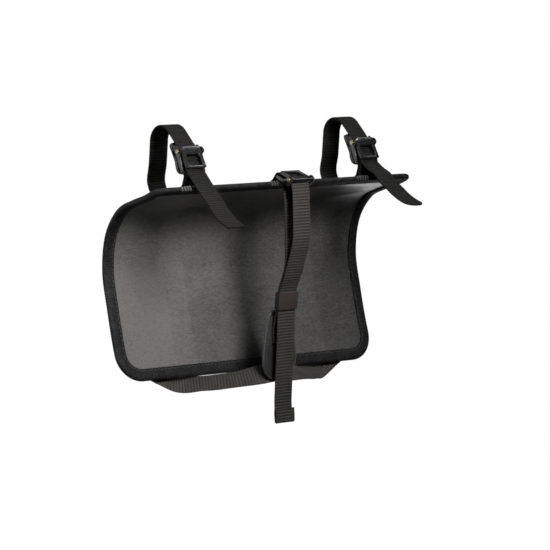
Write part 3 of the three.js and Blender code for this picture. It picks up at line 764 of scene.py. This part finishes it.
# Buckles
# Three cam buckles of black metal. Each has a frame of two ears with a plate under the strap and a bar
# for the tab, a steel pin with a head outside each ear, and a cam lever with a window on the pin.
BUCKLE = {
    "width": 20.6 * mm,
    "ear": 1.2 * mm,
    "crown": 3.0 * mm,
    "shoulder": -1.8 * mm,
    "floor": -5.1 * mm,
    "plate": 1.2 * mm,
    "tail": 15.4 * mm,
    "tail_top": 1.2 * mm,
    "bar_half": 0.6 * mm,
    "bar_deep": 2.4 * mm,
}
STRAP_OUT = 80.8 * mm
SIDE_SEAT = {"ahead": 5.9 * mm, "slot_start": 9.8 * mm, "anchor": -4.5 * mm}
CENTRE_SEAT = {"ahead": -0.2 * mm, "slot_start": 7.8 * mm, "anchor": -3.0 * mm}
LEVER = {
    "half": 8.7 * mm,
    "window": 5.7 * mm,
    "corner": 2.1 * mm,
    "window_corner": 1.1 * mm,
    "rim": 0.5 * mm,
    "barrel": 2.1 * mm,
    "barrel_half": 8.8 * mm,
}
LEVER_STATIONS = [
    (-3.2 * mm, 1.3 * mm, 1.9 * mm),
    (-2.2 * mm, 0.7 * mm, 2.1 * mm),
    (0.0, -0.4 * mm, 2.1 * mm),
    (3.4 * mm, -0.5 * mm, 1.9 * mm),
    (7.9 * mm, -0.6 * mm, 1.75 * mm),
    (12.3 * mm, -0.6 * mm, 1.65 * mm),
    (13.4 * mm, -0.6 * mm, 1.7 * mm),
    (14.4 * mm, -0.5 * mm, 1.6 * mm),
]
PIN = {
    "radius": 1.0 * mm,
    "inset": 0.2 * mm,
    "past_ear": 1.5 * mm,
    "head": 1.8 * mm,
    "head_long": 1.2 * mm,
    "head_round": 0.45 * mm,
}
METAL_COLOUR = (0.027, 0.027, 0.0275, 1)
PIN_COLOUR = (0.42, 0.36, 0.28, 1)


def black_metal():
    made = Finish("black_metal", Metallic=0.55, Coat_Weight=0.6, Coat_Roughness=0.16)
    grain = made.noise(1400, 2.0)
    rub = made.noise(240, 5.0)
    worn = made.level(rub, 0.62, 0.74)
    made.feed("Base Color", made.blend(worn, METAL_COLOUR, shade(METAL_COLOUR, 3.2)))
    made.feed("Roughness", made.level(grain * 0.5 + rub * 0.5, 0.35, 0.65, 0.24, 0.42))
    made.bump(grain, 0.05 * mm, 0.25)
    return made.material


def pin_steel():
    made = Finish("pin_steel", Metallic=1.0)
    turned = made.noise(1800, 2.0)
    made.feed("Base Color", made.blend(turned, shade(PIN_COLOUR, 0.6), shade(PIN_COLOUR, 1.2)))
    made.feed("Roughness", made.level(turned, 0.3, 0.7, 0.22, 0.4))
    return made.material


def buckle_axes(x, y, z, degrees):
    """Turns a buckle's own axes to the frame's: across, along to the anchor bar, and out to the lever."""
    angle = math.radians(degrees)
    flip = 1 if math.cos(angle) > 0 else -1
    along = Vector((0, math.cos(angle), math.sin(angle)))
    out = Vector((0, -flip * math.sin(angle), flip * math.cos(angle)))
    return Matrix.Translation((x, y, z)) @ Matrix((Vector((1, 0, 0)), along, out)).transposed().to_4x4()


def ease_edges(bm, edges, by, segments):
    bmesh.ops.bevel(
        bm, geom=edges, offset=by, segments=segments, profile=0.5, affect="EDGES", material=-1
    )


def add_slab(bm, outline, low, high, eased=0.25 * mm):
    """A slab of an outline drawn along and out, between two places across, with its edges eased."""
    old = set(bm.edges)
    face = bm.faces.new([bm.verts.new((low, along, out)) for along, out in outline])
    made = bmesh.ops.extrude_face_region(bm, geom=[face])["geom"]
    tops = [item for item in made if isinstance(item, bmesh.types.BMVert)]
    bmesh.ops.translate(bm, verts=tops, vec=(high - low, 0, 0))
    ease_edges(bm, [edge for edge in bm.edges if edge not in old], eased, 2)


def add_rod(bm, radius, low, high, eased):
    """A round rod across the buckle on the pin's line, with eased ends."""
    old = set(bm.edges)
    lie = Matrix.Translation(((low + high) / 2, 0, 0)) @ Matrix.Rotation(math.pi / 2, 4, "Y")
    bmesh.ops.create_cone(
        bm, cap_ends=True, segments=28, radius1=radius, radius2=radius, depth=high - low, matrix=lie
    )
    rims = [
        edge for edge in bm.edges
        if edge not in old and abs(edge.verts[0].co.x - edge.verts[1].co.x) < 0.01 * mm
    ]
    ease_edges(bm, rims, eased, 3)


def buckle_frame(ahead, slot_start, anchor):
    """Two ears, the plate between them, and the bar between their tails that the tab goes round."""
    bm = bmesh.new()
    half = BUCKLE["width"] / 2
    low, top = BUCKLE["floor"], BUCKLE["floor"] + BUCKLE["plate"]
    start, end = BUCKLE["tail"] - BUCKLE["bar_deep"], BUCKLE["tail"]
    under, over = anchor - BUCKLE["bar_half"], anchor + BUCKLE["bar_half"]
    crown = BUCKLE["crown"]
    turns = [math.radians(degrees) for degrees in range(0, 181, 20)]
    outline = [
        (-ahead, low),
        (slot_start, low),
        (end, under),
        (end, anchor + BUCKLE["tail_top"]),
        (slot_start, BUCKLE["shoulder"]),
        *[(crown * math.cos(turn), crown * math.sin(turn)) for turn in turns],
    ]
    if ahead > crown:
        outline.append((-ahead, BUCKLE["shoulder"]))
    for side in (-half, half - BUCKLE["ear"]):
        add_slab(bm, outline, side, side + BUCKLE["ear"])
    inner = half - 0.3 * mm
    add_slab(bm, [(-ahead, low), (slot_start, low), (slot_start, top), (-ahead, top)], -inner, inner)
    add_slab(bm, [(start, under), (end, under), (end, over), (start, over)], -inner, inner, 0.4 * mm)
    return bm


def cam_lever():
    """A plate with rounded corners and a window, and the barrel that turns on the pin. Each station gives
    a place along the plate, its underside and its top."""
    bm = bmesh.new()
    across = [-LEVER["half"], -LEVER["window"], LEVER["window"], LEVER["half"]]
    bmesh.ops.create_grid(bm, x_segments=3, y_segments=7, size=0.5)
    rank = {vert: (round((vert.co.x + 0.5) * 3), round((vert.co.y + 0.5) * 7)) for vert in bm.verts}
    for vert, (i, j) in rank.items():
        vert.co = (across[i], *LEVER_STATIONS[j][:2])
    inside = [
        face for face in bm.faces
        if all(rank[vert][0] in (1, 2) and 3 <= rank[vert][1] <= 5 for vert in face.verts)
    ]
    bmesh.ops.delete(bm, geom=inside, context="FACES")
    made = bmesh.ops.extrude_face_region(bm, geom=bm.faces[:])["geom"]
    for item in made:
        if isinstance(item, bmesh.types.BMVert):
            item.co.z = min(LEVER_STATIONS, key=lambda station: abs(station[0] - item.co.y))[2]
    bmesh.ops.recalc_face_normals(bm, faces=bm.faces)

    def corners(keep):
        """Sharp upright edges whose distance from the lever's middle line is kept."""
        found = []
        for edge in bm.edges:
            span = edge.verts[0].co - edge.verts[1].co
            upright = abs(span.x) < 0.01 * mm and abs(span.y) < 0.01 * mm
            if upright and edge.calc_face_angle(0) > 1 and keep(abs(edge.verts[0].co.x)):
                found.append(edge)
        return found

    ease_edges(bm, corners(lambda out: out > 8 * mm), LEVER["corner"], 5)
    ease_edges(bm, corners(lambda out: out < 6 * mm), LEVER["window_corner"], 4)
    ease_edges(bm, [edge for edge in bm.edges if edge.calc_face_angle(0) > 0.8], LEVER["rim"], 3)
    add_rod(bm, LEVER["barrel"], -LEVER["barrel_half"], LEVER["barrel_half"], 0.3 * mm)
    return bm


def cam_pin():
    bm = bmesh.new()
    reach = BUCKLE["width"] / 2 + PIN["past_ear"]
    add_rod(bm, PIN["radius"], -reach + PIN["inset"], reach - PIN["inset"], 0.1 * mm)
    add_rod(bm, PIN["head"], -reach, -reach + PIN["head_long"], PIN["head_round"])
    add_rod(bm, PIN["head"], reach - PIN["head_long"], reach, PIN["head_round"])
    return bm


metal = black_metal()
steel = pin_steel()
BUCKLES = [
    ("left", buckle_axes(-STRAP_OUT, -24.8 * mm, -4.4 * mm, 239), SIDE_SEAT),
    ("right", buckle_axes(STRAP_OUT, -24.8 * mm, -4.4 * mm, 239), SIDE_SEAT),
    ("centre", buckle_axes(0, -50.6 * mm, -27.2 * mm, 18), CENTRE_SEAT),
]
for side, axes, seat in BUCKLES:
    for name, bm, finish, slot, body in (
        ("buckle_frame", buckle_frame(**seat), metal, "black_metal", "harness"),
        ("cam_pin", cam_pin(), steel, "pin_steel", "harness"),
        ("cam_lever", cam_lever(), metal, "black_metal", f"lever_{side}"),
    ):
        bmesh.ops.transform(bm, verts=bm.verts, matrix=axes)
        finish_piece(f"{name}_{side}_metal", bm, finish, body, [f"{name}_{side}"])

# Buckle pads, leaf tab and keeper
# Smooth rubber-coated flaps lie between the side buckles and the bar. The leaf tab is the same sheet with
# a bound edge, sewn to the centre strap's foot. The keeper is a loop of woven elastic round both runs.
PAD = {
    "width": 22.6 * mm,
    "length": 24.4 * mm,
    "thick": 1.4 * mm,
    "corner": 3 * mm,
    "ahead": 10 * mm,
    "under": 6.1 * mm,
    "bow": 1.5 * mm,
}
LEAF = {
    "length": 51 * mm,
    "width": 31 * mm,
    "top": 20 * mm,
    "top_cut": 2.6 * mm,
    "widest": 0.75,
    "foot_round": 0.72,
    "thick": 1.6 * mm,
    "below": 124.5 * mm,
    "forward": 26.2 * mm,
    "foot_back": 1.4 * mm,
    "piping": 1.0 * mm,
    "piping_in": 0.7 * mm,
    "seam": 2.8 * mm,
}
LEAF_STITCH = {"pitch": 2.6 * mm, "length": 2.1 * mm, "thread": 0.45 * mm}
KEEPER_SHARE = 0.94
RUBBER_COLOUR = (0.024, 0.024, 0.024, 1)
ELASTIC_COLOUR = (0.048, 0.041, 0.037, 1)


def rubber_sheet(name, colour):
    made = Finish(name, Coat_Weight=0.06, Coat_Roughness=0.35)
    pebble = made.noise(1100, 3.0)
    scuff = made.noise(90, 5.0)
    tone = made.level(pebble * 0.5 + scuff * 0.5, 0.35, 0.7)
    made.feed("Base Color", made.blend(tone, shade(colour, 0.7), shade(colour, 1.5)))
    made.feed("Roughness", made.level(scuff, 0.35, 0.65, 0.42, 0.62))
    made.bump(pebble, 0.08 * mm, 0.5)
    return made.material


rubber = rubber_sheet("rubber_sheet", RUBBER_COLOUR)


def flap_half(distance):
    inward = max(0, PAD["corner"] - min(distance, PAD["length"] - distance))
    return PAD["width"] / 2 - PAD["corner"] + math.sqrt(max(0, PAD["corner"] ** 2 - inward**2))


for side, axes, seat in BUCKLES[:2]:
    bends = []
    for n in range(25):
        down = PAD["length"] * n / 24
        bow = PAD["bow"] * ease(down, PAD["length"] * 0.55, PAD["length"] * 0.85)
        bends.append(axes @ Vector((0, down - PAD["ahead"], -PAD["under"] - bow)))
    flap = Strip(bends, [Vector((1, 0, 0))] * len(bends), 2)
    bm = strip_mesh(flap, flap_half, PAD["thick"], 60)
    finish_piece(f"buckle_pad_{side}_rubber", bm, rubber, replaces=[f"buckle_pad_{side}"])


def leaf_point(share):
    back = LEAF["foot_back"] * share**2 - LEAF["forward"]
    return Vector((0, back, -LEAF["below"] - LEAF["length"] * share))


def leaf_half_at(share):
    swell = math.sin(math.pi * min(1, share / LEAF["widest"]) * 0.5)
    foot = max(0, (share - LEAF["widest"]) / (1 - LEAF["widest"]))
    half = (LEAF["top"] + (LEAF["width"] - LEAF["top"]) * swell) / 2
    cut = max(0, LEAF["top_cut"] - share * LEAF["length"])
    return half * math.sqrt(1 - LEAF["foot_round"] * foot**2) - cut


def cord_mesh(path, out, radius):
    """A closed round cord along a path that ends where it begins."""
    def place(around, along):
        distance = along * path.length
        way = path.way(distance)
        side = out.cross(way).normalized()
        angle = 2 * math.pi * around
        spot = path.at(distance) + (side * math.cos(angle) + out * math.sin(angle)) * radius
        return spot, (around * 2 * math.pi * radius, distance)

    bm = bent_grid(8, 150, place)
    bmesh.ops.remove_doubles(bm, verts=bm.verts, dist=0.2 * mm)
    return bm


def leaf_rim(inward, off):
    """A line round the leaf, a distance in from its edge and off its middle."""
    right = []
    for n in range(41):
        share = n / 40
        drawn_in = Vector((leaf_half_at(share) - inward, off, -inward * (1 - 2 * share)))
        right.append(leaf_point(share) + drawn_in)
    left = [Vector((-spot.x, spot.y, spot.z)) for spot in reversed(right)]
    return Path([*right, *left, right[0]])


leaf_bends = [leaf_point(n / 20) for n in range(21)]
leaf = Strip(leaf_bends, [Vector((1, 0, 0))] * len(leaf_bends), 2)
leaf_mesh = strip_mesh(leaf, lambda down: leaf_half_at(down / leaf.length), LEAF["thick"], 90, cells=14)
leaf_rubber = rubber_sheet("leaf_rubber", shade(RUBBER_COLOUR, 1.75))
finish_piece("leaf_tab_rubber", leaf_mesh, leaf_rubber, replaces=["leaf_tab"])
piping = cord_mesh(leaf_rim(LEAF["piping_in"], 0), Vector((0, -1, 0)), LEAF["piping"])
piping_rubber = rubber_sheet("piping_rubber", shade(RUBBER_COLOUR, 3.6))
finish_piece("leaf_piping", piping, piping_rubber)
leaf_seam = bmesh.new()
for face in (-1, 1):
    line = leaf_rim(LEAF["seam"], face * LEAF["thick"] / 2)
    for n in range(int(line.length / LEAF_STITCH["pitch"])):
        at = (n + 0.5) * LEAF_STITCH["pitch"]
        size = LEAF_STITCH["length"], LEAF_STITCH["thread"]
        lay_stitch(leaf_seam, line.at(at), line.way(at), Vector((0, face, 0)), *size)
finish_piece("leaf_stitches", leaf_seam, grey_thread, turn_out=False)


def keeper_band():
    bm = bmesh.new()
    bm.from_mesh(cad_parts["strap_keeper"].data)
    bmesh.ops.remove_doubles(bm, verts=bm.verts, dist=0.001 * mm)
    bmesh.ops.scale(bm, verts=bm.verts, vec=(KEEPER_SHARE, 1, 1))
    bmesh.ops.dissolve_limit(bm, angle_limit=math.radians(2), verts=bm.verts, edges=bm.edges)
    ease_edges(bm, [edge for edge in bm.edges if edge.calc_face_angle(0) > 1], 0.3 * mm, 3)
    return bm


def woven_elastic():
    made = Finish("woven_elastic", Specular_IOR_Level=0.25)
    cord = made.noise(1200, 2.0, made.stretched((0.3, 1, 2.2)))
    made.feed("Base Color", made.blend(cord, shade(ELASTIC_COLOUR, 0.7), shade(ELASTIC_COLOUR, 1.4)))
    made.feed("Roughness", made.level(cord, 0.3, 0.7, 0.55, 0.75))
    made.bump(cord, 0.12 * mm, 0.6)
    return made.material


elastic = woven_elastic()
finish_piece("keeper_elastic", keeper_band(), elastic, replaces=["strap_keeper"])

# Studio
# The harness hangs over a pale floor in a plain white room. A broad soft light stands in front of it, a
# little to its left. A second one lights its top edge from above and behind, and two weak ones light its
# left end and its buckles.
FLOOR = {"half": 1.8, "height": -1.2, "colour": (0.5, 0.5, 0.5, 1), "glow": 0.7}
CAMERA = {"place": (-1.3518, -1.7303, 0.1374), "target": (0.0163, 0, -0.1022), "lens": 195.1, "film": 36}
WHITE = (1, 1, 1, 1)


def pale_floor():
    bm = bmesh.new()
    lie = Matrix.Translation((0, 0, FLOOR["height"]))
    bmesh.ops.create_grid(bm, x_segments=1, y_segments=1, size=FLOOR["half"], matrix=lie)
    mesh = bpy.data.meshes.new("floor")
    bm.to_mesh(mesh)
    bm.free()
    look = {"Base_Color": FLOOR["colour"], "Emission_Color": WHITE, "Emission_Strength": FLOOR["glow"]}
    mesh.materials.append(Finish("floor", Roughness=0.9, **look).material)
    floor = bpy.data.objects.new("floor", mesh)
    floor.visible_diffuse = False
    floor.visible_glossy = False
    bpy.context.scene.collection.objects.link(floor)


def aimed(place, target):
    """The turn that points a light or the camera at its target."""
    return (Vector(target) - Vector(place)).to_track_quat("-Z", "Y").to_euler()


def soft_light(name, place, target, size, power, spread=180):
    light = bpy.data.lights.new(name, "AREA")
    light.shape = "RECTANGLE"
    light.size, light.size_y = size
    light.energy = power
    light.spread = math.radians(spread)
    lamp = bpy.data.objects.new(name, light)
    lamp.location = place
    lamp.rotation_euler = aimed(place, target)
    bpy.context.scene.collection.objects.link(lamp)


class Surround(Finish):
    """The light that comes from all round, which changes with its direction."""

    def __init__(self, name):
        world = bpy.data.worlds.new(name)
        world.use_nodes = True
        bpy.context.scene.world = world
        self.nodes = world.node_tree.nodes
        self.links = world.node_tree.links
        self.shader = self.nodes["Background"]


pale_floor()
soft_light("front_light", (-0.075, -0.54, 0.23), (-0.04, 0, -0.055), (0.22, 0.16), 0.44, 60)
soft_light("top_light", (0.0, 0.3, 0.75), (0, 0, -0.05), (0.5, 0.4), 2.2)
soft_light("side_light", (-0.38, -0.3, 0.12), (-0.125, 0.03, -0.09), (0.1, 0.1), 0.034, 26)
soft_light("buckle_light", (0.46, -0.16, 0.58), (0, -0.03, 0), (0.16, 0.16), 0.07, 45)
room = Surround("studio")
around = room.node("ShaderNodeTexCoord", {}, {}, "Generated")
back, height = [room.node("ShaderNodeSeparateXYZ", {}, {0: around}, out) for out in (1, 2)]
band = room.level(height, -0.8, -0.6) * room.level(height, 0.06, 0.24, 1.0, 0.05)
seen = room.node("ShaderNodeLightPath", {}, {}, "Is Camera Ray")
room.feed("Color", seen + (1 - seen) * band * room.level(back, -0.05, 0.45, 0.02, 1.0))
bpy.context.scene.view_settings.view_transform = "Standard"

lens = bpy.data.cameras.new("camera")
lens.lens = CAMERA["lens"]
lens.sensor_width = CAMERA["film"]
camera = bpy.data.objects.new("camera", lens)
camera.location = CAMERA["place"]
camera.rotation_euler = aimed(CAMERA["place"], CAMERA["target"])
bpy.context.scene.collection.objects.link(camera)
bpy.context.scene.camera = camera
